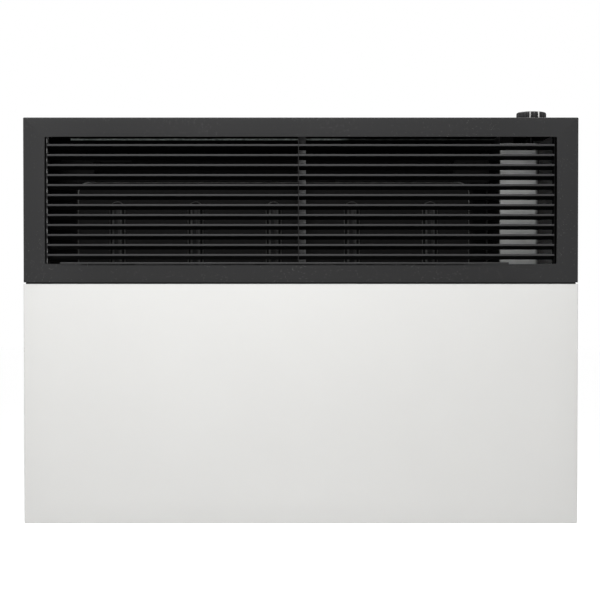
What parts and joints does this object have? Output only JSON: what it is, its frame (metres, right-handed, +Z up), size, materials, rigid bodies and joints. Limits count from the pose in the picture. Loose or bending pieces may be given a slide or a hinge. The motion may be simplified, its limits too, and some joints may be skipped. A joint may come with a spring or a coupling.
{
  "type": "wall mounted gas heater",
  "caption": "Wall mounted balanced flue gas heater: louvred black hood over a plain white panel, pressed combustion chamber behind, control knob on top.",
  "frame": {"origin": "point on the upper wall rail, on the wall plane, at the middle of the cabinet width", "axes": "+Z up, the front faces -Y and the wall lies at +Y, +X to the right seen from the front"},
  "size_m": [0.925, 0.28, 0.699],
  "materials": {
    "hood_paint": "satin black powder coat",
    "louvre_paint": "satin black powder coat",
    "post_paint": "satin black powder coat",
    "white_paint": "satin white powder coat",
    "chassis_black": "matt black paint",
    "galvanised": "zinc coated sheet",
    "shield_zinc": "zinc coated sheet",
    "chamber_black": "matt heat resisting coat",
    "stainless": "mill finish",
    "brass": "turned brass",
    "copper": "drawn tube",
    "cast_aluminium": "die cast",
    "aluminium_tube": "drawn tube",
    "knob_plastic": "moulded black",
    "igniter_plastic": "moulded black",
    "fibre": "woven glass fibre",
    "glass": "clear heat resisting",
    "ceramic": "glazed ceramic",
    "lead_cover": "silicone cover"
  },
  "bodies": {
    "heater": {"hood": "hood_paint", "front_panel": "white_paint", "joint_strip": "hood_paint", "louvre_post_left": "post_paint", "louvre_post_centre": "post_paint", "louvre_post_right": "post_paint", "top_deflector": "chassis_black", "back_plate": "chassis_black", "wall_rail_upper": "galvanised", "wall_rail_lower": "galvanised", "cover_bracket_left": "galvanised", "cover_bracket_right": "galvanised", "cover_hook_left": "hood_paint", "cover_hook_right": "hood_paint", "chamber_front": "chamber_black", "chamber_rear": "chamber_black", "chamber_gasket": "fibre", "chamber_strap_left": "chamber_black", "chamber_strap_right": "chamber_black", "burner_door": "chamber_black", "door_gasket": "fibre", "sight_glass": "glass", "sight_frame": "stainless", "air_duct": "galvanised", "exhaust_collar": "stainless", "intake_collar": "galvanised", "burner_tube": "stainless", "burner_saddle_left": "stainless", "burner_saddle_right": "stainless", "injector": "brass", "pilot_burner": "brass", "thermocouple": "copper", "spark_electrode": "ceramic", "ignition_lead": "lead_cover", "gas_valve": "cast_aluminium", "gas_inlet": "brass", "main_gas_tube": "aluminium_tube", "pilot_tube": "copper", "thermostat_bulb": "copper", "bulb_clips": "galvanised", "valve_shelf": "galvanised", "control_shield": "shield_zinc", "rod_guide": "post_paint", "piezo_igniter": "igniter_plastic", "louvre_01": "louvre_paint", "louvre_02": "louvre_paint", "louvre_03": "louvre_paint", "louvre_04": "louvre_paint", "louvre_05": "louvre_paint", "louvre_06": "louvre_paint", "louvre_07": "louvre_paint", "louvre_08": "louvre_paint", "louvre_09": "louvre_paint", "louvre_10": "louvre_paint", "louvre_11": "louvre_paint", "louvre_12": "louvre_paint"},
    "spindle": {"valve_spindle": "brass"},
    "knob": {"extension_rod": "stainless", "knob": "knob_plastic"},
    "igniter_button": {"piezo_button": "igniter_plastic"}
  },
  "joints": [
    {"name": "knob_turn", "type": "hinge", "parent": "heater", "child": "spindle", "pos_m": [0.402, -0.125, -0.29], "axis": [0, 0, 1], "range_deg": [0, 260]},
    {"name": "knob_press", "type": "slide", "parent": "spindle", "child": "knob", "axis": [0, 0, 1], "range_m": [-0.005, 0], "stiffness_N_per_m": 1500, "springref_m": 0.004},
    {"name": "igniter_press", "type": "slide", "parent": "heater", "child": "igniter_button", "axis": [0, 0, 1], "range_m": [-0.005, 0], "stiffness_N_per_m": 1200, "springref_m": 0.003}
  ]
}
